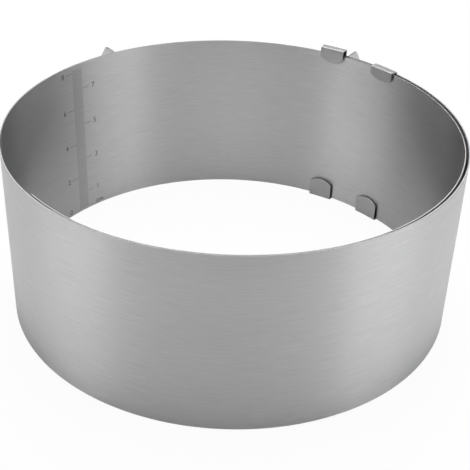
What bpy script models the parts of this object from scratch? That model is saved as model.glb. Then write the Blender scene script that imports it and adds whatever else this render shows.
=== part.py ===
"""Adjustable cake ring of steel strip, built from its separate pieces.

One long strip of spring steel is coiled a bit more than one and a half turns. Two guide straps are
welded to its outer end and hook over the inner lap, which slides through them, and two grips are
pressed together or pulled apart to set the diameter. The strip bends evenly along its whole length
when the ring is resized. Here it is divided into short arc sections, and each turns about a vertical
axis in the middle of the sheet, where it meets the next one.

A place along the strip is its turn, in degrees clockwise from the strip's outer end as seen from
above. The ring stands round the Z axis with its front at -Y, and at the end everything is moved so
that the origin is the middle of the underside of the box round it.
"""

import math

import bmesh
import bpy
from mathutils import Matrix, Vector

MM = 0.001

# The strip: sheet, height and coil
SHEET = 0.5 * MM
WALL_HEIGHT = 85.0 * MM
OUTER_RADIUS = 104.4 * MM
LAP_CLEARANCE = 1.0 * MM
STRIP_ANGLE = 565.4
OUTER_END_AZIMUTH = 64.8

# The inner lap dips inward where it passes through the straps
DIP = 0.8 * MM
DIP_FROM_ANGLE = 350.0
DIP_TO_ANGLE = 470.0

# Division of the strip: a short first section carries the first strap and a grip
LONG_SECTIONS = 25
FIXED_SECTION = 13
SECTION_GAP = 0.3 * MM
SECTION_MARGIN = 4.5 * MM
SECTION_FACETS = 8

# Straps, folded round the top and the bottom edge of both laps
STRAP_1_MARGIN = 0.5 * MM
STRAP_SHEET = 0.5 * MM
STRAP_BEND_RADIUS = 0.5 * MM
STRAP_RUNNING_ROOM = 1.2 * MM
STRAP_1_WIDTH = 13.1 * MM
STRAP_1_RISE = 2.6 * MM
STRAP_1_TOP_FLAP = 4.2 * MM
STRAP_1_BOTTOM_FLAP = 10.5 * MM
STRAP_2_WIDTH = 14.0 * MM
STRAP_2_RISE = 0.3 * MM
STRAP_2_TOP_FLAP = 5.3 * MM
STRAP_2_BOTTOM_FLAP = 10.5 * MM
FLAP_BOW = 2.2 * MM
STRAP_COLUMNS = 12

# Grips: a flange along the strip's outside and a wing standing out from it
GRIP_SHEET = 0.8 * MM
GRIP_CLEARANCE = 0.5 * MM
GRIP_BEND_RADIUS = 1.2 * MM
GRIP_EDGE_DROP = 0.4 * MM
FLANGE_WIDTH = 8.0 * MM
WING_TOP_REACH = 9.4 * MM
WING_REACH = 18.0 * MM
WING_SLOPE = 53.0
WING_APEX_RADIUS = 1.5 * MM
WING_CORNER_RADIUS = 5.0 * MM
LEFT_GRIP_ANGLE = 297.0

# Gap between two pieces that are welded together
SEAT_GAP = 0.3 * MM

# Places along the strip, from its outer end: strap, grip with its flange, section end, strap
STRAP_1_PLACE = STRAP_1_MARGIN + STRAP_1_WIDTH / 2
RIGHT_GRIP_PLACE = STRAP_1_MARGIN + STRAP_1_WIDTH + GRIP_CLEARANCE + GRIP_SHEET / 2
FIRST_SECTION_LENGTH = RIGHT_GRIP_PLACE + FLANGE_WIDTH + SECTION_MARGIN
STRAP_2_PLACE = FIRST_SECTION_LENGTH + SECTION_MARGIN + STRAP_2_WIDTH / 2

# Finish, with each grey and roughness
STRIP_TONE, STRIP_ROUGHNESS = 0.62, 0.32
STRAP_TONE, STRAP_ROUGHNESS = 0.5, 0.36
GRIP_TONE, GRIP_ROUGHNESS = 0.6, 0.3

BEND_STEPS = 4
SMOOTH_ANGLE = 30.0


def strip_radius(turn):
    """Distance from the axis to the middle of the sheet at a turn."""
    step = SHEET + LAP_CLEARANCE
    share = min(max((turn - DIP_FROM_ANGLE) / (DIP_TO_ANGLE - DIP_FROM_ANGLE), 0.0), 1.0)
    dip = DIP * math.sin(math.pi * share) ** 2
    return OUTER_RADIUS - SHEET / 2 - step * turn / 360 - dip


def polar(radius, turn, height=0.0):
    """Point at a distance from the axis, at a turn along the strip."""
    azimuth = math.radians(OUTER_END_AZIMUTH - turn)
    return Vector((radius * math.cos(azimuth), radius * math.sin(azimuth), height))


def turn_over(length, turn):
    """Turn in degrees that a length along the strip covers."""
    return math.degrees(length / strip_radius(turn))


def turn_at(place):
    """Turn of a place near the outer end, given by its distance from that end."""
    return turn_over(place, 0.0)


def steel(name, tone, roughness):
    """Brushed steel of a grey tone."""
    material = bpy.data.materials.new(name)
    material.use_nodes = True
    shader = material.node_tree.nodes["Principled BSDF"]
    shader.inputs["Base Color"].default_value = (tone, tone, tone, 1.0)
    shader.inputs["Metallic"].default_value = 1.0
    shader.inputs["Roughness"].default_value = roughness
    return material


def make_object(name, mesh_data, material, origin, parent=None):
    """Object from a bmesh in ring coordinates, with its origin at a given point."""
    bmesh.ops.recalc_face_normals(mesh_data, faces=mesh_data.faces)
    bmesh.ops.transform(mesh_data, matrix=Matrix.Translation(-origin), verts=mesh_data.verts)
    mesh = bpy.data.meshes.new(name)
    mesh_data.to_mesh(mesh)
    mesh_data.free()
    mesh.shade_smooth()
    mesh.set_sharp_from_angle(angle=math.radians(SMOOTH_ANGLE))
    mesh.materials.append(material)
    piece = bpy.data.objects.new(name, mesh)
    bpy.context.collection.objects.link(piece)
    piece.location = origin
    if parent is not None:
        piece.parent = parent["object"]
        piece.location = origin - parent["origin"]
    return {"object": piece, "origin": origin}


def section_ends():
    """Turns at which the strip is divided, its two ends included."""
    first = turn_at(FIRST_SECTION_LENGTH)
    long_turn = (STRIP_ANGLE - first) / LONG_SECTIONS
    return [0.0] + [first + long_turn * count for count in range(LONG_SECTIONS + 1)]


def section_mesh(start, end):
    """Upright piece of the coil between two turns."""
    mesh_data = bmesh.new()
    rows = []
    for count in range(SECTION_FACETS + 1):
        turn = start + (end - start) * count / SECTION_FACETS
        middle = strip_radius(turn)
        rows.append([mesh_data.verts.new(polar(middle + side * SHEET / 2, turn)) for side in (-1, 1)])
    for (inner_a, outer_a), (inner_b, outer_b) in zip(rows, rows[1:]):
        mesh_data.faces.new((inner_a, outer_a, outer_b, inner_b))
    raised = bmesh.ops.extrude_face_region(mesh_data, geom=mesh_data.faces[:])["geom"]
    top = [item for item in raised if isinstance(item, bmesh.types.BMVert)]
    bmesh.ops.translate(mesh_data, vec=Vector((0, 0, WALL_HEIGHT)), verts=top)
    return mesh_data


def make_strip():
    """All sections, each one hung on its neighbour toward the fixed section."""
    ends = section_ends()
    count = len(ends) - 1
    sections = {}

    def add(index, hinge_turn, parent):
        gap = turn_over(SECTION_GAP / 2, ends[index])
        start = ends[index] + (gap if index > 0 else 0.0)
        end = ends[index + 1] - (gap if index < count - 1 else 0.0)
        origin = Vector() if hinge_turn is None else polar(strip_radius(hinge_turn), hinge_turn)
        name = f"strip_{index + 1:02d}"
        material = steel(name, STRIP_TONE, STRIP_ROUGHNESS)
        sections[index] = make_object(name, section_mesh(start, end), material, origin, parent)

    add(FIXED_SECTION, None, None)
    for index in range(FIXED_SECTION + 1, count):
        add(index, ends[index], sections[index - 1])
    for index in range(FIXED_SECTION - 1, -1, -1):
        add(index, ends[index + 1], sections[index + 1])
    return sections


def add_sheet(mesh_data, columns):
    """Faces between neighbouring columns of points, which all have as many points."""
    rows = [[mesh_data.verts.new(point) for point in column] for column in columns]
    for column_a, column_b in zip(rows, rows[1:]):
        for index in range(len(column_a) - 1):
            corners = (column_a[index], column_b[index], column_b[index + 1], column_a[index + 1])
            mesh_data.faces.new(corners)
    bmesh.ops.recalc_face_normals(mesh_data, faces=mesh_data.faces)


def thicken(piece, thickness):
    """Give a sheet its thickness, half to each side."""
    solidify = piece["object"].modifiers.new("Thickness", "SOLIDIFY")
    solidify.thickness = thickness
    solidify.offset = 0.0
    solidify.use_even_offset = True
    solidify.use_quality_normals = True


def arc(centre, radius, start, end, steps=BEND_STEPS):
    """Points of an arc in a plane, angles in degrees, both ends included."""
    points = []
    for count in range(steps + 1):
        angle = math.radians(start + (end - start) * count / steps)
        points.append((centre[0] + radius * math.cos(angle), centre[1] + radius * math.sin(angle)))
    return points


def strap_profile(across, width, rise, top_flap, bottom_flap):
    """Points (offset outward from the strip's middle, height) down one line of a strap."""
    outside = SHEET / 2 + SEAT_GAP + STRAP_SHEET / 2
    inside = -(SHEET + LAP_CLEARANCE + SHEET / 2 + STRAP_RUNNING_ROOM + STRAP_SHEET / 2)
    top = WALL_HEIGHT + rise + STRAP_SHEET / 2
    bottom = -SEAT_GAP - STRAP_SHEET / 2
    bend = STRAP_BEND_RADIUS
    end_radius = ((width / 2) ** 2 + FLAP_BOW ** 2) / (2 * FLAP_BOW)
    rounding = end_radius - math.sqrt(end_radius ** 2 - across ** 2)
    points = [(inside, WALL_HEIGHT - top_flap + rounding)]
    points += arc((inside + bend, top - bend), bend, 180, 90)
    points += arc((outside - bend, top - bend), bend, 90, 0)
    points += arc((outside - bend, bottom + bend), bend, 0, -90)
    points += arc((inside + bend, bottom + bend), bend, -90, -180)
    points.append((inside, bottom_flap - rounding))
    return points


def make_strap(name, turn, width, rise, flaps, carrier):
    """Guide strap: down the strip's outside, folded in over both edges, with a flap inside each."""
    columns = []
    for count in range(STRAP_COLUMNS + 1):
        across = width * (count / STRAP_COLUMNS - 0.5)
        column_turn = turn + turn_over(across, turn)
        middle = strip_radius(column_turn)
        profile = strap_profile(across, width, rise, *flaps)
        columns.append([polar(middle + offset, column_turn, height) for offset, height in profile])
    mesh_data = bmesh.new()
    add_sheet(mesh_data, columns)
    origin = polar(strip_radius(turn), turn)
    finish = steel(name, STRAP_TONE, STRAP_ROUGHNESS)
    strap = make_object(name, mesh_data, finish, origin, carrier)
    thicken(strap, STRAP_SHEET)
    return strap


def wing_outline():
    """Upper edge of a wing, as (reach, height) from the strip outward to its upright edge."""
    top = WALL_HEIGHT - GRIP_EDGE_DROP
    slope = math.radians(WING_SLOPE)
    apex, corner = WING_APEX_RADIUS, WING_CORNER_RADIUS
    apex_centre = (WING_TOP_REACH - apex * math.tan(slope / 2), top - apex)
    points = arc(apex_centre, apex, 90, 90 - WING_SLOPE)
    # the slanting edge meets the upright one in a round corner tangent to both
    corner_height = top - (WING_REACH - WING_TOP_REACH) * math.tan(slope)
    trim = corner * math.tan((math.pi / 2 - slope) / 2)
    corner_centre = (WING_REACH - corner, corner_height - trim)
    return points + arc(corner_centre, corner, 90 - WING_SLOPE, 0)


def make_grip(name, turn, way, carrier):
    """Grip bent from one sheet, with its flange on the side of the wing that way points to."""
    seat = SHEET / 2 + SEAT_GAP + GRIP_SHEET / 2
    bend = GRIP_BEND_RADIUS
    top = WALL_HEIGHT - GRIP_EDGE_DROP
    plan = []
    for count in range(BEND_STEPS + 1):
        along = FLANGE_WIDTH - (FLANGE_WIDTH - bend) * count / BEND_STEPS
        plan.append((along, seat, top))
    for along, out in arc((bend, seat + bend), bend, 270, 180)[1:]:
        plan.append((along, out, top))
    for reach, height in wing_outline():
        plan.append((0.0, SHEET / 2 + reach, height))
    columns = []
    for along, out, height in plan:
        column_turn = turn + way * turn_over(along, turn)
        radius = strip_radius(column_turn) + out
        columns.append([polar(radius, column_turn, level) for level in (height, WALL_HEIGHT - height)])
    mesh_data = bmesh.new()
    add_sheet(mesh_data, columns)
    origin = polar(strip_radius(turn), turn)
    finish = steel(name, GRIP_TONE, GRIP_ROUGHNESS)
    grip = make_object(name, mesh_data, finish, origin, carrier)
    thicken(grip, GRIP_SHEET)
    return grip


def section_at(sections, turn):
    """The section that carries a turn."""
    ends = section_ends()
    index = max(count for count, end in enumerate(ends[:-1]) if end <= turn)
    return sections[index]


def stand_on_origin(fixed):
    """Move the whole ring so that the origin is the bottom centre of the box round it."""
    bpy.context.view_layer.update()
    depsgraph = bpy.context.evaluated_depsgraph_get()
    low = Vector((math.inf,) * 3)
    high = -low
    for piece in bpy.context.collection.objects:
        evaluated = piece.evaluated_get(depsgraph)
        for corner in evaluated.data.vertices:
            point = evaluated.matrix_world @ corner.co
            low = Vector(map(min, low, point))
            high = Vector(map(max, high, point))
    middle = (low + high) / 2
    fixed["object"].location -= Vector((middle.x, middle.y, low.z))
    bpy.context.view_layer.update()


def main():
    for piece in list(bpy.data.objects):
        bpy.data.objects.remove(piece)
    sections = make_strip()
    straps = (
        (STRAP_1_PLACE, STRAP_1_WIDTH, STRAP_1_RISE, (STRAP_1_TOP_FLAP, STRAP_1_BOTTOM_FLAP)),
        (STRAP_2_PLACE, STRAP_2_WIDTH, STRAP_2_RISE, (STRAP_2_TOP_FLAP, STRAP_2_BOTTOM_FLAP)),
    )
    for number, (place, width, rise, flaps) in enumerate(straps, 1):
        turn = turn_at(place)
        make_strap(f"guide_strap_{number}", turn, width, rise, flaps, section_at(sections, turn))
    right_turn = turn_at(RIGHT_GRIP_PLACE)
    make_grip("grip_left", LEFT_GRIP_ANGLE, -1, section_at(sections, LEFT_GRIP_ANGLE))
    make_grip("grip_right", right_turn, 1, section_at(sections, right_turn))
    stand_on_origin(sections[FIXED_SECTION])


main()
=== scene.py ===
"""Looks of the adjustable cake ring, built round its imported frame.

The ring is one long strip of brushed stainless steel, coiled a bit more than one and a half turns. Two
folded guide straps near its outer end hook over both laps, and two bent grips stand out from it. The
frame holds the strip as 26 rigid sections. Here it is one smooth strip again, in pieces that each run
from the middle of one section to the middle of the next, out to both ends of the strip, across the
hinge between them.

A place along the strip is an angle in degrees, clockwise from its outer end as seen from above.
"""

import logging
import math
from collections.abc import Callable, Sequence
from dataclasses import dataclass
from enum import Enum

import bmesh
import bpy
from bmesh.types import BMEdge, BMesh, BMVert
from bpy.types import Material, Mesh, Object
from mathutils import Matrix, Vector

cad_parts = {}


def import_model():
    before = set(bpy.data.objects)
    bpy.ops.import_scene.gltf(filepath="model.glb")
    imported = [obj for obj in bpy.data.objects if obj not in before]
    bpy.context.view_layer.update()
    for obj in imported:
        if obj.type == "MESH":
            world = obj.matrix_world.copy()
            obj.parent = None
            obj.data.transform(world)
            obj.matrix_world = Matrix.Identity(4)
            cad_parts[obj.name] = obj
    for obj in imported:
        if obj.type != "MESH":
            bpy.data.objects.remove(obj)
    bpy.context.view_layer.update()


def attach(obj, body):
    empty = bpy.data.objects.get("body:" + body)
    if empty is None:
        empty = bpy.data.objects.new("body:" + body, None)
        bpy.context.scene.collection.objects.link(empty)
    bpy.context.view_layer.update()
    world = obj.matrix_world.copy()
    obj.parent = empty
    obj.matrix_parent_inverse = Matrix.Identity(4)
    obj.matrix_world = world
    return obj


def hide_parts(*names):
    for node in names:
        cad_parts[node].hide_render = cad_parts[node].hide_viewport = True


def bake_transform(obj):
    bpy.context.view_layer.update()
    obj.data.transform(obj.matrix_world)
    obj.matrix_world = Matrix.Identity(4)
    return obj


LOG = logging.getLogger("cake_ring")
SHEET_MAP = "sheet"
MM = 0.001
CM = 10 * MM

# Axes of a flat blank: along the strip, through the sheet and up
LENGTH, DEPTH, HEIGHT = 0, 1, 2

# Distances within which corners are merged and two places are the same
MERGED = 1e-7
SAME = 1e-6

# Value that noise swings round
NOISE_MIDDLE = 0.5

Span = tuple[float, float]
Triple = tuple[float, float, float]
Stretch = tuple[float, float, float, float]


class Slot(Enum):
    """Material slots of the record."""

    STRIP = "strip_steel"
    STRAP = "strap_steel"
    GRIP = "grip_steel"


class Way(Enum):
    """Side of a grip's wing on which its flange lies, along the strip."""

    TOWARD_OUTER_END = -1
    TOWARD_INNER_END = 1


class Side(Enum):
    """Number that a face of the strip carries for its material. Outside and inside are one steel, the
    inside with painted shade and the outside with painted sheen.
    """

    OUTSIDE = 0
    INSIDE = 1
    CUT_EDGE = 2


class Run(Enum):
    """Kind of a stretch of a folded strap."""

    STRAIGHT = "straight"
    BEND = "bend"


class Signal:
    """An output socket that takes part in Python sums."""

    def __init__(self, graph: "Graph", socket: bpy.types.NodeSocket) -> None:
        """Keep the socket and the graph that it belongs to."""
        self.graph = graph
        self.socket = socket

    def _math(self, operation: str, first: "Signal | float", second: "Signal | float") -> "Signal":
        """One Math node on two values."""
        return self.graph.add("ShaderNodeMath", {"operation": operation}, {0: first, 1: second}).out()

    def __add__(self, other: "Signal | float") -> "Signal":
        """Sum."""
        return self._math("ADD", self, other)

    __radd__ = __add__

    def __sub__(self, other: "Signal | float") -> "Signal":
        """Difference."""
        return self._math("SUBTRACT", self, other)

    def __rsub__(self, other: float) -> "Signal":
        """Difference from a number."""
        return self._math("SUBTRACT", other, self)

    def __mul__(self, other: "Signal | float") -> "Signal":
        """Product."""
        return self._math("MULTIPLY", self, other)

    __rmul__ = __mul__

    def at_least(self, other: "Signal | float") -> "Signal":
        """The larger of two values."""
        return self._math("MAXIMUM", self, other)


class NodeHandle:
    """A node whose outputs are read as signals."""

    def __init__(self, graph: "Graph", node: bpy.types.Node) -> None:
        """Keep the node and the graph that it belongs to."""
        self.graph = graph
        self.node = node

    def out(self, key: int | str = 0) -> Signal:
        """Output socket by number or name."""
        return Signal(self.graph, self.node.outputs[key])


class Graph:
    """A node tree that is filled node by node."""

    def __init__(self, tree: bpy.types.NodeTree) -> None:
        """Start from an empty tree."""
        self.tree = tree
        tree.nodes.clear()

    def add(self, kind: str, settings: dict | None = None, inputs: dict | None = None) -> NodeHandle:
        """Add a node of any type.

        Args:
            kind: Node type, as bpy names it.
            settings: Properties of the node, set first.
            inputs: Values or signals of its sockets, by number or name.

        Returns:
            The node.
        """
        node = self.tree.nodes.new(kind)
        for name, value in (settings or {}).items():
            setattr(node, name, value)
        for key, value in (inputs or {}).items():
            if isinstance(value, Signal):
                self.tree.links.new(value.socket, node.inputs[key])
            else:
                node.inputs[key].default_value = value
        return NodeHandle(self, node)

    def sheet_place(self) -> Signal:
        """Place on the flat sheet, in metres, from the piece's UV map."""
        return self.add("ShaderNodeUVMap", {"uv_map": SHEET_MAP}).out()

    def noise(self, vector: Signal, fineness: Triple, detail: float = 2.0) -> Signal:
        """Noise that swings up to half a unit either way.

        Args:
            vector: Place that the noise is read at, in metres.
            fineness: Features per metre along each axis.
            detail: Number of finer octaves.

        Returns:
            The noise value.
        """
        place = self.add("ShaderNodeMapping", inputs={"Vector": vector, "Scale": fineness}).out()
        inputs = {"Vector": place, "Scale": 1.0, "Detail": detail}
        return self.add("ShaderNodeTexNoise", inputs=inputs).out("Fac") - NOISE_MIDDLE

    def grey(self, value: Signal, tint: Triple) -> Signal:
        """Tinted brightness. Inputs 6 and 7 of a Mix node are its colours, and output 2 is the result."""
        settings = {"data_type": "RGBA", "blend_type": "MULTIPLY"}
        return self.add("ShaderNodeMix", settings, {"Factor": 1.0, 6: value, 7: (*tint, 1.0)}).out(2)

    def principled(self, surface: dict) -> None:
        """Lead a Principled shader with these inputs to the material's output."""
        shader = self.add("ShaderNodeBsdfPrincipled", inputs=surface)
        self.add("ShaderNodeOutputMaterial", inputs={"Surface": shader.out()})


def new_material(name: str) -> tuple[Material, Graph]:
    """Start a material.

    Args:
        name: Its name.

    Returns:
        The material, and the graph that its nodes go into.
    """
    material = bpy.data.materials.new(name)
    material.use_nodes = True
    return material, Graph(material.node_tree)


@dataclass(frozen=True)
class SteelFinish:
    """Brushed stainless steel, its lines running along the sheet's own u direction."""

    name: str
    tone: float
    roughness: float
    directed: float
    edge_tint: float = 0.56
    line_turn: float = 0.25
    streak_contrast: float = 0.16
    cloud_contrast: float = 0.04
    roughness_spread: float = 0.14
    line_depth: float = 0.004 * MM
    tint: Triple = (0.998, 1.0, 1.002)
    long_lines: Triple = (65.0, 1800.0, 0.0)
    long_detail: float = 3.0
    fine_lines: Triple = (220.0, 5200.0, 0.0)
    fine_share: float = 0.7
    clouds: Triple = (14.0, 38.0, 0.0)

    def make(self) -> Material:
        """Build the material.

        Returns:
            The material.
        """
        material, graph = new_material(self.name)
        place = graph.sheet_place()
        long_lines = graph.noise(place, self.long_lines, self.long_detail)
        fine_lines = graph.noise(place, self.fine_lines)
        clouds = graph.noise(place, self.clouds)
        lines = long_lines + fine_lines * self.fine_share
        streaks, patches = lines * (2 * self.streak_contrast), clouds * (2 * self.cloud_contrast)
        spread = self.roughness_spread
        relief = {"Height": lines, "Strength": 1.0, "Distance": self.line_depth}
        along_lines = {"direction_type": "UV_MAP", "uv_map": SHEET_MAP}
        graph.principled({
            "Base Color": graph.grey(self.tone * (1.0 + streaks + patches), self.tint),
            "Metallic": 1.0,
            "Roughness": self.roughness + lines * spread + clouds * (spread / 2),
            "Specular Tint": (self.edge_tint, self.edge_tint, self.edge_tint, 1.0),
            "Anisotropic": self.directed,
            "Anisotropic Rotation": self.line_turn,
            "Tangent": graph.add("ShaderNodeTangent", along_lines).out(),
            "Normal": graph.add("ShaderNodeBump", inputs=relief).out(),
        })
        return material


@dataclass(frozen=True)
class EtchedMark:
    """Dark matt marks of the scale, etched into the steel."""

    name: str
    tone: float
    metallic: float = 0.85
    roughness: float = 0.5
    roughness_spread: float = 0.2
    grain_contrast: float = 0.25
    grain: Triple = (3000.0, 3000.0, 0.0)
    tint: Triple = (1.0, 1.0, 1.0)

    def make(self) -> Material:
        """Build the material.

        Returns:
            The material.
        """
        material, graph = new_material(self.name)
        grain = graph.noise(graph.sheet_place(), self.grain)
        brightness = self.tone * (1.0 + grain * (2 * self.grain_contrast))
        graph.principled({
            "Base Color": graph.grey(brightness, self.tint),
            "Metallic": self.metallic,
            "Roughness": self.roughness + grain * self.roughness_spread,
        })
        return material


def share_of(value: float, start: float, end: float) -> float:
    """How far a value lies between two others, held between 0 and 1."""
    return min(max((value - start) / (end - start), 0.0), 1.0)


def ease(value: float, start: float, end: float) -> float:
    """Smooth step from 0 to 1 between two values."""
    share = share_of(value, start, end)
    return share * share * (3 - 2 * share)


def swell(value: float, stretch: Stretch) -> float:
    """Smooth rise from 0 to 1 between the first two limits and fall between the last two."""
    return ease(value, stretch[0], stretch[1]) - ease(value, stretch[2], stretch[3])


def steps(start: float, end: float, count: int) -> list[float]:
    """Evenly spaced values between two ends, both left out."""
    return [start + (end - start) * index / count for index in range(1, count)]


@dataclass(frozen=True)
class Coil:
    """The path of the strip: a slow spiral, with a dip where the inner lap passes the straps.

    The frame keeps the laps apart. Here the inner lap nestles closer to the outer one, and is tucked
    closer still on the right. At the front the laps lie off level a little, so that the rim reads closed.
    """

    axis_x: float = -0.388 * MM
    axis_y: float = 0.374 * MM
    foot: float = 0.8 * MM
    sheet: float = 0.5 * MM
    height: float = 85.0 * MM
    outer_radius: float = 104.4 * MM
    lap_clearance: float = 1.0 * MM
    strip_angle: float = 565.4
    outer_end_azimuth: float = 64.8
    dip: float = 0.8 * MM
    dip_from: float = 350.0
    dip_to: float = 470.0
    first_section: float = 27.0 * MM
    long_sections: int = 25
    nestle: float = 0.18 * MM
    nestle_from: float = 425.0
    nestle_to: float = 460.0
    tuck: float = 0.4 * MM
    tucked_stretch: Stretch = (375.0, 400.0, 425.0, 450.0)
    off_level: float = 0.25 * MM
    high_stretch: Stretch = (98.0, 130.0, 190.0, 225.0)
    low_stretch: Stretch = (458.0, 490.0, 545.0, 565.0)

    def pitch(self) -> float:
        """Distance from the middle of one lap's sheet to the next."""
        return self.sheet + self.lap_clearance

    def radius(self, angle: float) -> float:
        """Distance from the axis to the middle of the sheet in the frame."""
        dip = self.dip * math.sin(math.pi * share_of(angle, self.dip_from, self.dip_to)) ** 2
        return self.outer_radius - self.sheet / 2 - self.pitch() * angle / 360 - dip

    def closer(self, angle: float) -> float:
        """How much further out than in the frame a place lies."""
        nestled = self.nestle * ease(angle, self.nestle_from, self.nestle_to)
        return nestled + self.tuck * swell(angle, self.tucked_stretch)

    def lift(self, angle: float) -> float:
        """Height of a place above level: at the front the outer lap is a bit high, the other low."""
        return self.off_level * (swell(angle, self.high_stretch) - swell(angle, self.low_stretch))

    def spread(self, length: float, angle: float) -> float:
        """Degrees that a length along the strip covers at an angle."""
        return math.degrees(length / self.radius(angle))

    def along(self, azimuth: float) -> float:
        """Angle along the strip's outer lap of an azimuth, in degrees."""
        return (self.outer_end_azimuth - azimuth) % 360

    def ends(self) -> list[float]:
        """Angles at which the frame's sections meet, with the strip's two ends."""
        first = self.spread(self.first_section, 0.0)
        return [0.0, first, *steps(first, self.strip_angle, self.long_sections), self.strip_angle]

    def place(self, angle: float, outward: float, height: float) -> Vector:
        """Point of the coil.

        Args:
            angle: Place along the strip, in degrees.
            outward: Distance outward from the middle of the sheet.
            height: Height above the strip's lower edge.

        Returns:
            The point in the frame.
        """
        azimuth = math.radians(self.outer_end_azimuth - angle)
        radius = self.radius(angle) + self.closer(angle) + outward
        x = self.axis_x + radius * math.cos(azimuth)
        y = self.axis_y + radius * math.sin(azimuth)
        return Vector((x, y, self.foot + self.lift(angle) + height))


def add_object(name: str, data: bpy.types.ID) -> Object:
    """Add an object to the scene.

    Args:
        name: Its name.
        data: Its mesh, curve, camera or light.

    Returns:
        The object, at the origin.
    """
    item = bpy.data.objects.new(name, data)
    bpy.context.scene.collection.objects.link(item)
    return item


def release(source: BMesh, name: str) -> Mesh:
    """Turn a bmesh into mesh data and free it.

    Args:
        source: The bmesh.
        name: Name of the data.

    Returns:
        The mesh data.
    """
    mesh = bpy.data.meshes.new(name)
    source.to_mesh(mesh)
    source.free()
    return mesh


def extent(edge: BMEdge, axis: int) -> float:
    """How far an edge reaches along an axis."""
    return abs(edge.verts[1].co[axis] - edge.verts[0].co[axis])


def on_rim(edge: BMEdge) -> bool:
    """Whether an edge of a flat plate lies between a broad face and the rim."""
    broad = [round(abs(face.normal[DEPTH])) for face in edge.link_faces]
    return len(broad) == 2 and broad[0] != broad[1]


class Blank:
    """A flat piece of sheet, worked with bmesh operators before it is rolled onto the coil.

    In the flat, x runs along the strip, y is the depth in the sheet and z the height.
    """

    def __init__(self) -> None:
        """Start with nothing."""
        self.mesh: BMesh = bmesh.new()

    def plate(self, low: Vector, high: Vector) -> None:
        """Add a rectangular plate between two corners."""
        matrix = Matrix.Translation((low + high) / 2) @ Matrix.Diagonal((*(high - low), 1.0))
        bmesh.ops.create_cube(self.mesh, size=1.0, matrix=matrix)

    def outline(self, points: Sequence[Span], thickness: float) -> None:
        """Add a plate with a straight-sided outline.

        Args:
            points: Corners of the outline as (x, z), in order round it.
            thickness: Thickness of the plate, half to each side of y = 0.
        """
        corners = [self.mesh.verts.new((x, -thickness / 2, z)) for x, z in points]
        face = self.mesh.faces.new(corners)
        raised = bmesh.ops.extrude_face_region(self.mesh, geom=[face])["geom"]
        top = [item for item in raised if isinstance(item, BMVert)]
        bmesh.ops.translate(self.mesh, vec=(0.0, thickness, 0.0), verts=top)
        bmesh.ops.recalc_face_normals(self.mesh, faces=self.mesh.faces)

    def soften(self, test: Callable[[BMEdge], bool], offset: float, segments: int = 2) -> None:
        """Round the edges that pass a test.

        Args:
            test: Says which edges are rounded.
            offset: Width of the rounding from the old edge.
            segments: Number of faces across it.
        """
        edges = [edge for edge in self.mesh.edges if test(edge)]
        bmesh.ops.bevel(
            self.mesh, geom=edges, offset=offset, offset_type="OFFSET", affect="EDGES",
            segments=segments, profile=0.5, material=-1, clamp_overlap=True,
        )

    def cut(self, axis: int, places: Sequence[float]) -> None:
        """Cut the faces along planes across an axis, so that the sheet can bend there.

        Args:
            axis: Axis that the planes lie across.
            places: Where they cross it.
        """
        normal = Vector((0.0, 0.0, 0.0))
        normal[axis] = 1.0
        for place in places:
            bmesh.ops.bisect_plane(
                self.mesh, geom=[*self.mesh.verts, *self.mesh.edges, *self.mesh.faces], dist=MERGED,
                plane_co=normal * place, plane_no=normal,
            )

    def map_sheet(self, start: float = 0.0) -> None:
        """Write the flat place of every corner to the UV map, in metres.

        Args:
            start: Distance along the whole strip of the blank's x = 0.
        """
        layer = self.mesh.loops.layers.uv.verify()
        for face in self.mesh.faces:
            for loop in face.loops:
                place = loop.vert.co
                loop[layer].uv = (start + place.x, place.z + place.y)

    def move(self, place_of: Callable[[Vector], Vector]) -> None:
        """Bend the sheet: move every point to where a function says."""
        for vert in self.mesh.verts:
            vert.co = place_of(vert.co.copy())

    def mark_sides(self, tilt: float) -> None:
        """Number the faces of a strip by their side.

        Args:
            tilt: Size of a normal's height past which a face belongs to a cut edge.
        """
        self.mesh.normal_update()
        for face in self.mesh.faces:
            side = Side.INSIDE if face.normal.y < 0 else Side.OUTSIDE
            face.material_index = (Side.CUT_EDGE if abs(face.normal.z) > tilt else side).value

    def mark_stretch(self, low: float, high: float) -> None:
        """Give the faces between two heights in the flat the second material; on a strap it is a darker
        copy of the steel, which is painted shade.
        """
        for face in self.mesh.faces:
            face.material_index = int(low < face.calc_center_median().z < high)

    def finish(self, name: str, materials: Sequence[Material], sharp_angle: float) -> Object:
        """Turn the blank into a piece.

        Args:
            name: Name of the piece.
            materials: Its finish, or one for each number that its faces carry.
            sharp_angle: Angle in degrees past which an edge stays sharp.

        Returns:
            The piece, at the origin.
        """
        bmesh.ops.recalc_face_normals(self.mesh, faces=self.mesh.faces)
        mesh = release(self.mesh, name)
        mesh.uv_layers[0].name = SHEET_MAP
        mesh.shade_smooth()
        mesh.set_sharp_from_angle(angle=math.radians(sharp_angle))
        for material in materials:
            mesh.materials.append(material)
        return add_object(name, mesh)


@dataclass(frozen=True)
class Weld:
    """Round dimples that spot welds leave, one above another, deepest in the middle."""

    radius: float
    heights: tuple[float, ...]
    clearance: float = 0.02 * MM
    rows: int = 12
    roundness: float = 0.6

    def cuts(self, middle: float) -> list[float]:
        """Places of the cuts that let the sheet bend round a dimple."""
        return steps(middle - self.radius, middle + self.radius, self.rows)

    def depth(self, away: float, gap: float) -> float:
        """How deep the sheet dips into the gap under it, at a distance from a dimple's middle."""
        swing = 0.5 + 0.5 * math.cos(math.pi * min(away / self.radius, 1.0))
        return (gap - self.clearance) * swing ** self.roundness


def section_body(number: int) -> str:
    """Name of the body that carries a section."""
    return f"section_{number:02d}"


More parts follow.
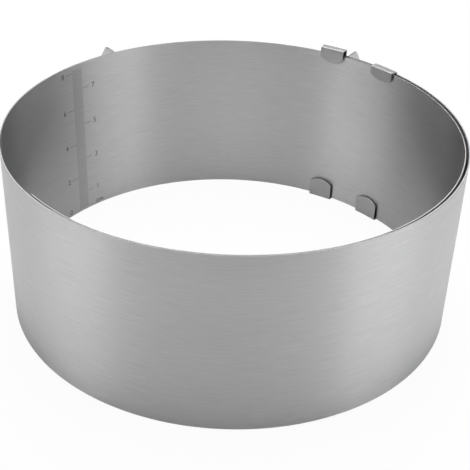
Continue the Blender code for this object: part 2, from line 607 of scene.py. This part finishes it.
@dataclass
class Strip:
    """The coiled strip, in smooth pieces that run across the frame's hinges."""

    coil: Coil
    outside: Material
    inside: Material
    cut_edge: Material
    held_zones: dict[int, Span]
    edge_rounding: float = 0.09 * MM
    edge_tilt: float = 0.3
    columns: int = 28
    columns_over: float = 22.0
    sharp_angle: float = 15.0

    def middle(self, number: int) -> float:
        """Angle of the middle of a section, counted from 1 at the outer end."""
        ends = self.coil.ends()
        return (ends[number - 1] + ends[number]) / 2

    def zone(self, number: int) -> Span:
        """Angles of a piece's zone across the hinge after the section of its number."""
        whole = (self.middle(number), self.middle(number + 1))
        return self.held_zones.get(number, whole)

    def span(self, number: int) -> Span:
        """Angles between which a piece runs: from one section's middle to the next, out to both ends."""
        joints = [0.0, *map(self.middle, range(2, self.coil.long_sections + 1)), self.coil.strip_angle]
        return joints[number - 1], joints[number]

    def follow(self, piece: Object, number: int) -> None:
        """Bake a piece's placement into its mesh; its zone across one hinge is looked up but not used.

        Args:
            piece: The piece.
            number: Number of the piece of the strip.
        """
        start, end = self.zone(number)
        middle = self.coil.height / 2
        first, second = section_body(number), section_body(number + 1)
        self.coil.place(start, 0.0, middle)
        self.coil.place(end, 0.0, middle)
        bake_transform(piece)

    def make_piece(self, number: int) -> Object:
        """Build one piece of the strip.

        Args:
            number: Number of the piece.

        Returns:
            The coiled piece.
        """
        coil = self.coil
        start, end = self.span(number)
        middle_radius = coil.radius((start + end) / 2)
        length = math.radians(end - start) * middle_radius
        half = coil.sheet / 2
        blank = Blank()
        blank.plate(Vector((0.0, -half, 0.0)), Vector((length, half, coil.height)))
        blank.soften(lambda edge: extent(edge, LENGTH) > half, self.edge_rounding)
        blank.cut(LENGTH, steps(0.0, length, round(self.columns * (end - start) / self.columns_over)))
        blank.mark_sides(self.edge_tilt)
        blank.map_sheet(math.radians(start) * middle_radius)
        blank.move(lambda flat: coil.place(start + (end - start) * flat.x / length, flat.y, flat.z))
        finishes = (self.outside, self.inside, self.cut_edge)
        piece = blank.finish(f"strip_run_{number:02d}", finishes, self.sharp_angle)
        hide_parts(f"strip_{number:02d}", f"strip_{number + 1:02d}")
        self.follow(piece, number)
        return piece

    def build(self) -> list[Object]:
        """Build all pieces."""
        return [self.make_piece(number) for number in range(1, self.coil.long_sections + 1)]


@dataclass
class GuideStrap:
    """Strap folded round both edges of both laps, spot welded to the outside of the strip."""

    name: str
    body: str
    coil: Coil
    material: Material
    roof_shade_material: Material
    place: float
    width: float
    rise: float
    top_flap: float
    bottom_flap: float = 10.5 * MM
    sheet: float = 0.5 * MM
    bend_radius: float = 0.5 * MM
    running_room: float = 1.2 * MM
    seat_gap: float = 0.3 * MM
    flap_bow: float = 2.2 * MM
    edge_rounding: float = 0.07 * MM
    columns: int = 28
    bend_steps: int = 7
    runs_before_back: int = 4
    weld: Weld = Weld(radius=2.1 * MM, heights=(20.0 * MM, 65.0 * MM))
    sharp_angle: float = 25.0

    def offsets(self) -> Span:
        """Where the inner and the outer leg lie, outward from the middle of the strip's sheet."""
        reach = self.coil.pitch() + self.coil.sheet / 2 + self.running_room
        return -(reach + self.sheet / 2), self.coil.sheet / 2 + self.seat_gap + self.sheet / 2

    def path(self) -> list[tuple[Run, float]]:
        """Flat lengths of top flap, roof, back, floor and bottom flap, with a bend between each two.

        Returns:
            Kind and length of every stretch, from the top flap's end on.
        """
        inside, outside = self.offsets()
        top = self.coil.height + self.rise + self.sheet / 2
        bottom = -self.seat_gap - self.sheet / 2
        bend = self.bend_radius
        across = outside - inside - 2 * bend
        bottom_flap = self.bottom_flap - (bottom + bend)
        path = [(Run.STRAIGHT, top - bend - (self.coil.height - self.top_flap))]
        for length in (across, top - bottom - 2 * bend, across, bottom_flap):
            path += [(Run.BEND, math.pi / 2 * bend), (Run.STRAIGHT, length)]
        return path

    def back_start(self) -> float:
        """Distance along the flat strap at which its back starts."""
        return sum(length for _, length in self.path()[:self.runs_before_back])

    def spots(self) -> list[float]:
        """Distances along the flat strap of the middles of its welds."""
        back_top = self.coil.height + self.rise + self.sheet / 2 - self.bend_radius
        return [self.back_start() + back_top - height for height in self.weld.heights]

    def cuts(self) -> list[float]:
        """Places at which the flat strap is cut, so that it can bend and take its welds.

        Returns:
            The distance of each cut from the strap's top end.
        """
        places, reached = [], 0.0
        for run, length in self.path():
            if reached > 0:
                places.append(reached)
            if run is Run.BEND:
                places += steps(reached, reached + length, self.bend_steps)
            reached += length
        for spot in self.spots():
            places += self.weld.cuts(spot)
        return places

    def fold(self, developed: float, depth: float) -> Span:
        """Place of a point of the flat strap once it is folded.

        Args:
            developed: Distance along the flat strap from its top end.
            depth: Distance from the middle of the sheet, toward the strap's outside.

        Returns:
            Distance outward from the middle of the strip's sheet, and height.
        """
        place = Vector((self.offsets()[0], self.coil.height - self.top_flap))
        heading = math.pi / 2
        bend, left, path = self.bend_radius, developed, self.path()
        for number, (run, length) in enumerate(path, 1):
            stretch = left if number == len(path) else min(left, length)
            if run is Run.BEND:
                centre = place + bend * Vector((math.sin(heading), -math.cos(heading)))
                heading -= stretch / bend
                place = centre - bend * Vector((math.sin(heading), -math.cos(heading)))
            else:
                place = place + stretch * Vector((math.cos(heading), math.sin(heading)))
            left -= stretch
            if left <= 0:
                break
        side = Vector((-math.sin(heading), math.cos(heading)))
        return tuple(place + side * depth)

    def bowed(self, flat: Vector) -> float:
        """Distance along the flat strap of a point, once the ends of its flaps are bowed.

        Args:
            flat: Point of the rectangular strap.

        Returns:
            Its distance from the strap's top end.
        """
        path = self.path()
        total = sum(length for _, length in path)
        top_flap, bottom_flap = path[0][1], path[-1][1]
        half = self.width / 2
        end_radius = (half ** 2 + self.flap_bow ** 2) / (2 * self.flap_bow)
        across = max(-half, min(flat.x, half))
        trim = end_radius - math.sqrt(end_radius ** 2 - across ** 2)
        if flat.z < top_flap:
            return trim + flat.z * (top_flap - trim) / top_flap
        if flat.z > total - bottom_flap:
            return total - trim - (total - flat.z) * (bottom_flap - trim) / bottom_flap
        return flat.z

    def folded(self, flat: Vector) -> Vector:
        """Say where a point of the flat strap ends up.

        Args:
            flat: Point of the rectangular strap.

        Returns:
            The point in the frame.
        """
        outward, height = self.fold(self.bowed(flat), flat.y)
        for spot in self.spots():
            outward -= self.weld.depth(math.hypot(flat.x, flat.z - spot), self.seat_gap)
        angle = self.coil.spread(self.place, 0.0)
        return self.coil.place(angle + self.coil.spread(flat.x, angle), outward, height)

    def make(self) -> Object:
        """Build the strap.

        Returns:
            The folded strap.
        """
        path = self.path()
        total = sum(length for _, length in path)
        half, side = self.sheet / 2, self.width / 2
        blank = Blank()
        blank.plate(Vector((-side, -half, 0.0)), Vector((side, half, total)))
        blank.soften(lambda edge: extent(edge, DEPTH) < half, self.edge_rounding)
        blank.cut(LENGTH, steps(-side, side, self.columns))
        blank.cut(HEIGHT, self.cuts())
        blank.map_sheet()
        # The roof and its two bends take the darker copy of the strap steel. This is painted shade that
        # tones down the lamps' highlight there.
        blank.mark_stretch(path[0][1], self.back_start())
        blank.move(self.folded)
        finishes = (self.material, self.roof_shade_material)
        piece = blank.finish(f"{self.name}_folded", finishes, self.sharp_angle)
        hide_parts(self.name)
        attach(piece, self.body)
        return piece


@dataclass
class Grip:
    """Bracket bent from one sheet: a flange welded to the strip and a wing that stands out from it."""

    name: str
    body: str
    coil: Coil
    material: Material
    angle: float
    way: Way
    sheet: float = 0.8 * MM
    seat_gap: float = 0.3 * MM
    bend_radius: float = 1.2 * MM
    edge_drop: float = 0.4 * MM
    flange_width: float = 8.0 * MM
    wing_top_reach: float = 9.4 * MM
    wing_reach: float = 18.0 * MM
    wing_slope: float = 53.0
    apex_radius: float = 1.5 * MM
    apex_steps: int = 6
    corner_radius: float = 5.0 * MM
    corner_steps: int = 8
    edge_rounding: float = 0.12 * MM
    flange_columns: int = 14
    bend_steps: int = 7
    weld: Weld = Weld(radius=2.0 * MM, heights=(12.0 * MM, 42.5 * MM, 73.0 * MM))
    sharp_angle: float = 25.0

    def seat(self) -> float:
        """Distance of the flange's middle outward from the middle of the strip's sheet."""
        return self.coil.sheet / 2 + self.seat_gap + self.sheet / 2

    def bend_ends(self) -> Span:
        """Where the bend starts and ends on the flat sheet, from the flange's edge."""
        straight = self.flange_width - self.bend_radius
        return straight, straight + math.pi / 2 * self.bend_radius

    def developed_reach(self, reach: float) -> float:
        """Place on the flat sheet of a point of the wing, given by its distance from the strip's face."""
        past_bend = (self.coil.sheet / 2 + reach) - (self.seat() + self.bend_radius)
        return self.bend_ends()[1] + past_bend

    def corners(self) -> list[Span]:
        """Outline of the flat sheet, before its corners are rounded.

        Returns:
            The corners as (x, z), in order round it.
        """
        top, low = self.coil.height - self.edge_drop, self.edge_drop
        apex, reach = self.developed_reach(self.wing_top_reach), self.developed_reach(self.wing_reach)
        fall = (reach - apex) * math.tan(math.radians(self.wing_slope))
        return [(0.0, low), (apex, low), (reach, low + fall), (reach, top - fall), (apex, top), (0.0, top)]

    def through_at(self, reach: float) -> Callable[[BMEdge], bool]:
        """Test for the short edges through the sheet at a point of the wing."""
        place, half = self.developed_reach(reach), self.sheet / 2
        return lambda edge: extent(edge, DEPTH) > half and abs(edge.verts[0].co.x - place) < SAME

    def fold(self, flat: Vector) -> Span:
        """Place in plan of a point of the flat sheet.

        Args:
            flat: Point of the flat sheet.

        Returns:
            Its distance along the strip from the wing's middle, and outward.
        """
        bend, seat = self.bend_radius, self.seat()
        straight, bent = self.bend_ends()
        if flat.x <= straight:
            return self.flange_width - flat.x, seat + flat.y
        if flat.x <= bent:
            turned = (flat.x - straight) / bend
            radius = bend - flat.y
            return bend - radius * math.sin(turned), seat + bend - radius * math.cos(turned)
        return flat.y, seat + bend + flat.x - bent

    def folded(self, flat: Vector) -> Vector:
        """Say where a point of the flat sheet ends up.

        Args:
            flat: Point of the flat sheet.

        Returns:
            The point in the frame.
        """
        along, outward = self.fold(flat)
        weld_x = self.bend_ends()[0] / 2
        for height in self.weld.heights:
            outward -= self.weld.depth(math.hypot(flat.x - weld_x, flat.z - height), self.seat_gap)
        column = self.angle + self.way.value * self.coil.spread(along, self.angle)
        return self.coil.place(column, outward, flat.z)

    def make(self) -> Object:
        """Build the grip.

        Returns:
            The bent grip.
        """
        slope = math.radians(self.wing_slope)
        corner = self.corner_radius * math.tan((math.pi / 2 - slope) / 2)
        apex = self.apex_radius * math.tan(slope / 2)
        straight, bent = self.bend_ends()
        blank = Blank()
        blank.outline(self.corners(), self.sheet)
        blank.soften(self.through_at(self.wing_reach), corner, self.corner_steps)
        blank.soften(self.through_at(self.wing_top_reach), apex, self.apex_steps)
        blank.soften(on_rim, self.edge_rounding)
        blank.cut(LENGTH, steps(0.0, straight, self.flange_columns) + [straight])
        blank.cut(LENGTH, steps(straight, bent, self.bend_steps) + [bent])
        for height in self.weld.heights:
            blank.cut(HEIGHT, self.weld.cuts(height))
        blank.map_sheet()
        blank.move(self.folded)
        piece = blank.finish(f"{self.name}_bent", (self.material,), self.sharp_angle)
        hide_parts(self.name)
        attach(piece, self.body)
        return piece


@dataclass
class Fittings:
    """The two guide straps and the two grips that are welded to the strip."""

    coil: Coil
    strap: Material
    strap_roof_shade: Material
    grip: Material
    first_zone: Span = (22.5 * MM, 31.5 * MM)
    left_grip_section: int = 14
    left_grip_angle: float = 297.0
    left_grip_hold: float = 0.6
    right_grip_place: float = 14.5 * MM

    def held_zones(self) -> dict[int, Span]:
        """Narrow zones at the hinges beside what is welded to the strip.

        Returns:
            Start and end of each zone in degrees, by the number of the strip's piece.
        """
        start, end = (self.coil.spread(length, 0.0) for length in self.first_zone)
        hinge = self.coil.ends()[self.left_grip_section]
        held_to = self.left_grip_angle + self.left_grip_hold
        return {1: (start, end), self.left_grip_section: (held_to, 2 * hinge - held_to)}

    def build(self) -> list[Object]:
        """Build all of them.

        Returns:
            The straps, then the grips.
        """
        coil = self.coil
        finishes = (self.strap, self.strap_roof_shade)
        left_body = section_body(self.left_grip_section)
        right_angle = coil.spread(self.right_grip_place, 0.0)
        fittings = (
            GuideStrap("guide_strap_1", section_body(1), coil, *finishes, place=7.05 * MM,
                       width=13.1 * MM, rise=2.6 * MM, top_flap=4.2 * MM),
            GuideStrap("guide_strap_2", section_body(2), coil, *finishes, place=38.5 * MM,
                       width=14.0 * MM, rise=0.3 * MM, top_flap=5.3 * MM),
            Grip("grip_left", left_body, coil, self.grip, self.left_grip_angle, Way.TOWARD_OUTER_END),
            Grip("grip_right", section_body(1), coil, self.grip, right_angle, Way.TOWARD_INNER_END),
        )
        return [fitting.make() for fitting in fittings]


@dataclass
class Scale:
    """Centimetre scale on the inside of the wall: a band of fine lines, long lines and numbers."""

    coil: Coil
    strip: Strip
    mark: Material
    tick: Material
    band: Material
    fine: Material
    piece_number: int = 13
    zero_height: float = 1.0 * MM
    number_size: float = 3.0 * MM
    em_share: float = 1.35
    boldness: float = 0.045 * MM
    even_numbers: tuple[int, ...] = (2, 4, 6, 8)
    odd_numbers: tuple[int, ...] = (1, 3, 5, 7)
    even_azimuth: float = 147.35
    odd_azimuth: float = 136.15
    even_line: Span = (146.2, 143.6)
    odd_line: Span = (140.05, 137.6)
    lowest_number_height: float = 2.4 * MM
    line_width: float = 0.32 * MM
    line_cut_reach: float = 7.0 * MM
    line_cuts: int = 5
    band_azimuths: Span = (143.6, 140.05)
    band_cuts: int = 6
    first_fine: int = 1
    last_fine: int = 81
    fine_width: float = 0.28 * MM
    proud: float = 0.025 * MM
    band_proud: float = 0.012 * MM
    sunk: float = 0.06 * MM
    unit_azimuth: float = 135.7
    unit_height: float = 2.3 * MM
    sharp_angle: float = 30.0

    def length(self, azimuths: Span) -> float:
        """Length along the strip between two azimuths."""
        start, end = (self.coil.along(azimuth) for azimuth in azimuths)
        return math.radians(end - start) * self.coil.radius(start)

    def lay(self, blank: Blank, name: str, azimuth: float, material: Material) -> Object:
        """Bend flat marks onto the inside of the wall.

        Args:
            blank: The flat marks, with x to the reader's right.
            name: Name of the piece.
            azimuth: Where their x = 0 comes, in degrees.
            material: Their finish.

        Returns:
            The piece.
        """
        coil = self.coil
        start, half = coil.along(azimuth), coil.sheet / 2
        blank.map_sheet()
        blank.move(lambda flat: coil.place(start + coil.spread(flat.x, start), -half - flat.y, flat.z))
        piece = blank.finish(name, (material,), self.sharp_angle)
        self.strip.follow(piece, self.piece_number)
        return piece

    def lines(
        self, name: str, azimuths: Span, heights: Sequence[float], width: float, material: Material,
    ) -> Object:
        """Build level lines of one kind.

        Args:
            name: Name of the piece.
            azimuths: Where the lines start and end, in degrees.
            heights: Height of each line's middle.
            width: Width of a line.
            material: Their finish.

        Returns:
            The piece, laid on the wall.
        """
        length, half = self.length(azimuths), width / 2
        blank = Blank()
        for height in heights:
            low = Vector((0.0, -self.sunk, height - half))
            blank.plate(low, Vector((length, self.proud, height + half)))
        blank.cut(LENGTH, steps(0.0, self.line_cut_reach, self.line_cuts))
        return self.lay(blank, name, azimuths[0], material)

    def band_plate(self) -> Object:
        """Build the faint band that carries the fine lines.

        Returns:
            The piece, laid on the wall.
        """
        low = self.zero_height + self.first_fine * MM - MM / 2
        high = self.zero_height + self.last_fine * MM + MM / 2
        length = self.length(self.band_azimuths)
        blank = Blank()
        blank.plate(Vector((0.0, -self.sunk, low)), Vector((length, self.band_proud, high)))
        blank.cut(LENGTH, steps(0.0, length, self.band_cuts))
        return self.lay(blank, "scale_band", self.band_azimuths[0], self.band)

    def word_mesh(self, word: str, height: float) -> Mesh:
        """Make one word or number, flat and upright.

        Args:
            word: What it says.
            height: Height of its middle.

        Returns:
            The mesh data.
        """
        curve = bpy.data.curves.new("scale_word", "FONT")
        curve.body, curve.size = word, self.number_size * self.em_share
        curve.align_x = curve.align_y = "CENTER"
        curve.extrude = (self.proud + self.sunk) / 2
        curve.offset = self.boldness
        writing = add_object("scale_word", curve)
        bpy.context.view_layer.update()
        evaluated = writing.evaluated_get(bpy.context.evaluated_depsgraph_get())
        mesh = bpy.data.meshes.new_from_object(evaluated)
        bpy.data.objects.remove(writing)
        place = Matrix.Translation((0.0, (self.proud - self.sunk) / 2, height))
        mesh.transform(place @ Matrix.Rotation(math.pi / 2, 4, "X"))
        return mesh

    def text(self, name: str, words: Sequence[tuple[str, float]], azimuth: float) -> Object:
        """Build numbers or letters one above another.

        Args:
            name: Name of the piece.
            words: Each text with the height of its middle.
            azimuth: Where their middle comes, in degrees.

        Returns:
            The piece, laid on the wall.
        """
        blank = Blank()
        for word, height in words:
            mesh = self.word_mesh(word, height)
            blank.mesh.from_mesh(mesh)
            bpy.data.meshes.remove(mesh)
        bmesh.ops.remove_doubles(blank.mesh, verts=blank.mesh.verts, dist=MERGED)
        return self.lay(blank, name, azimuth, self.mark)

    def build(self) -> list[Object]:
        """Build the whole scale.

        Returns:
            Its pieces.
        """
        zero, width = self.zero_height, self.line_width
        even = [(str(number), zero + number * CM) for number in self.even_numbers]
        odd = [(str(number), zero + number * CM) for number in self.odd_numbers]
        fine = [zero + count * MM for count in range(self.first_fine, self.last_fine + 1)]
        lowest, unit = ("0", self.lowest_number_height), ("cm", self.unit_height)
        return [
            self.band_plate(),
            self.lines("scale_fine_lines", self.band_azimuths, fine, self.fine_width, self.fine),
            self.lines("scale_even_lines", self.even_line, [h for _, h in even], width, self.tick),
            self.lines("scale_odd_lines", self.odd_line, [h for _, h in odd], width, self.tick),
            self.text("scale_even_numbers", [lowest, *even], self.even_azimuth),
            self.text("scale_odd_numbers", odd, self.odd_azimuth),
            self.text("scale_unit", [unit], self.unit_azimuth),
        ]


@dataclass(frozen=True)
class Softbox:
    """Soft rectangular light."""

    name: str
    place: Triple
    size: Span
    power: float

    def hang(self, aim: Vector) -> None:
        """Add the light to the scene, facing a point."""
        data = bpy.data.lights.new(self.name, "AREA")
        data.shape, data.energy = "RECTANGLE", self.power
        data.size, data.size_y = self.size
        place = Vector(self.place)
        turn = (aim - place).to_track_quat("-Z", "Y").to_matrix().to_4x4()
        add_object(self.name, data).matrix_world = Matrix.Translation(place) @ turn


@dataclass
class Studio:
    """Pale floor, soft lights and the camera."""

    coil: Coil
    floor_size: float = 6.0
    floor_tone: float = 0.80
    glossy_floor: float = 0.05
    camera_floor: float = 0.95
    fill_light: float = 0.02
    seen_in_front: float = 0.60
    seen_behind: float = 0.30
    seen_on_left: float = 1.00
    seen_on_right: float = 2.20
    fall_off_above: float = 2.0
    focal: float = 1008.605
    frame_pixels: float = 470.0
    sensor: float = 36.0
    clip_start: float = 0.01
    distance: float = 483.116 * MM
    elevation: float = 0.5708824
    roll: float = -0.0364365
    aside: float = 1.8847 * MM
    raised: float = 27.7622 * MM
    aim: Triple = (0.0, 0.0, 0.04)
    softboxes: tuple[Softbox, ...] = (
        Softbox("back_softbox", (0.0, 0.85, 1.2), (0.9, 0.6), 13.5),
        Softbox("top_softbox", (0.0, 0.05, 1.45), (0.9, 0.6), 12.0),
        Softbox("left_softbox", (-1.06, -0.28, 0.75), (0.8, 0.7), 4.0),
        Softbox("right_softbox", (1.05, -0.32, 0.75), (0.8, 0.7), 4.0),
    )

    def place_camera(self) -> None:
        """Camera at the photograph's viewing angle."""
        forward = Vector((0.0, math.cos(self.elevation), -math.sin(self.elevation)))
        right = Vector((1.0, 0.0, 0.0))
        up = right.cross(forward)
        turned_right = math.cos(self.roll) * right - math.sin(self.roll) * up
        turned_up = math.sin(self.roll) * right + math.cos(self.roll) * up
        axis = Vector((self.coil.axis_x, self.coil.axis_y, self.coil.foot))
        eye = axis - forward * self.distance + Vector((self.aside, 0.0, self.raised))
        columns = Matrix((turned_right, turned_up, -forward)).transposed().to_4x4()
        data = bpy.data.cameras.new("photo_camera")
        data.sensor_width = self.sensor
        data.lens = self.focal / self.frame_pixels * self.sensor
        data.clip_start = self.clip_start
        camera = add_object("photo_camera", data)
        camera.matrix_world = Matrix.Translation(eye) @ columns
        bpy.context.scene.camera = camera

    def seen_directly(self, path: NodeHandle) -> Signal:
        """1 for rays from the camera or through glass, else 0."""
        return path.out("Is Camera Ray").at_least(path.out("Is Transmission Ray"))

    def lay_floor(self) -> None:
        """Pale floor that shows white, keeps the shadow and is dim in the metal."""
        grid = bmesh.new()
        bmesh.ops.create_grid(grid, x_segments=1, y_segments=1, size=self.floor_size / 2)
        floor = add_object("floor", release(grid, "floor"))
        material, graph = new_material("pale_floor")
        path = graph.add("ShaderNodeLightPath")
        share = self.seen_directly(path) * self.camera_floor
        share = share.at_least(path.out("Is Glossy Ray") * self.glossy_floor)
        tone = (self.floor_tone, self.floor_tone, self.floor_tone, 1.0)
        matt = graph.add("ShaderNodeBsdfDiffuse", inputs={"Color": tone})
        white = graph.add("ShaderNodeEmission", inputs={"Strength": 1.0})
        mixed = graph.add("ShaderNodeMixShader", inputs={0: share, 1: matt.out(), 2: white.out()})
        graph.add("ShaderNodeOutputMaterial", inputs={"Surface": mixed.out()})
        floor.data.materials.append(material)

    def light_world(self) -> None:
        """Faint even light, pale where it is seen. Metal mirrors soft walls that are dark above."""
        world = bpy.data.worlds.new("studio")
        world.use_nodes = True
        graph = Graph(world.node_tree)
        path = graph.add("ShaderNodeLightPath")
        direction = graph.add("ShaderNodeTexCoord").out("Generated")
        heading = graph.add("ShaderNodeSeparateXYZ", inputs={0: direction})
        x, y, z = heading.out("X"), heading.out("Y"), heading.out("Z")
        front, back = (y * -1.0).at_least(0.0), y.at_least(0.0)
        left, right = (x * -1.0).at_least(0.0), x.at_least(0.0)
        walls = front * front * self.seen_in_front + back * back * self.seen_behind
        walls = walls + left * left * self.seen_on_left + right * right * self.seen_on_right
        walls = walls * (1.0 - z.at_least(0.0) * self.fall_off_above).at_least(0.0)
        light = self.fill_light + (walls - self.fill_light) * path.out("Is Glossy Ray")
        strength = light + (1.0 - light) * self.seen_directly(path)
        background = graph.add("ShaderNodeBackground", inputs={"Strength": strength})
        graph.add("ShaderNodeOutputWorld", inputs={"Surface": background.out()})
        bpy.context.scene.world = world

    def build(self) -> None:
        """Set up the whole studio."""
        bpy.context.scene.view_settings.view_transform = "Standard"
        self.place_camera()
        self.lay_floor()
        self.light_world()
        for softbox in self.softboxes:
            softbox.hang(Vector(self.aim))


def main() -> None:
    """Build the studio and every piece of the ring."""
    logging.basicConfig(level=logging.INFO, format="%(message)s")
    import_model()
    coil = Coil()
    Studio(coil).build()
    brushed = {"roughness": 0.40, "directed": 0.93}
    # Outside and inside are one steel. The inside's low edge tint dims its glancing reflections, which is
    # painted shade; the outside's full edge tint brightens them, which is painted sheen.
    outside = SteelFinish("outside_steel_painted_sheen", tone=0.62, edge_tint=1.0, **brushed).make()
    inside = SteelFinish("inside_steel_painted_shade", tone=0.62, edge_tint=0.36, **brushed).make()
    # Cut edges are rougher, with their lines running across. Their tone, darker than the strip's, is
    # painted shade that tones down the rim's highlight.
    cut_edge = SteelFinish(
        "cut_edge_steel_painted_shade", tone=0.36, roughness=0.50, directed=0.8, edge_tint=0.9, line_turn=0.0,
    ).make()
    strap = SteelFinish("satin_strap_steel", tone=0.49, roughness=0.44, directed=0.20).make()
    # Darker copy of the strap steel for the roof and its bends: painted shade.
    strap_roof_shade = SteelFinish("strap_roof_painted_shade", tone=0.32, roughness=0.48, directed=0.20).make()
    grip = SteelFinish("satin_grip_steel", tone=0.60, roughness=0.34, directed=0.45).make()
    mark = EtchedMark("etched_mark", tone=0.20).make()
    tick = EtchedMark("etched_tick", tone=0.34).make()
    band = SteelFinish("etched_band", tone=0.55, **brushed).make()
    fine = SteelFinish("etched_fine_line", tone=0.48, **brushed).make()
    fittings = Fittings(coil, strap, strap_roof_shade, grip)
    strip = Strip(coil, outside, inside, cut_edge, fittings.held_zones())
    for part in (strip, fittings, Scale(coil, strip, mark, tick, band, fine)):
        for piece in part.build():
            LOG.info("%s: %d faces", piece.name, len(piece.data.polygons))


if __name__ == "__main__":
    main()
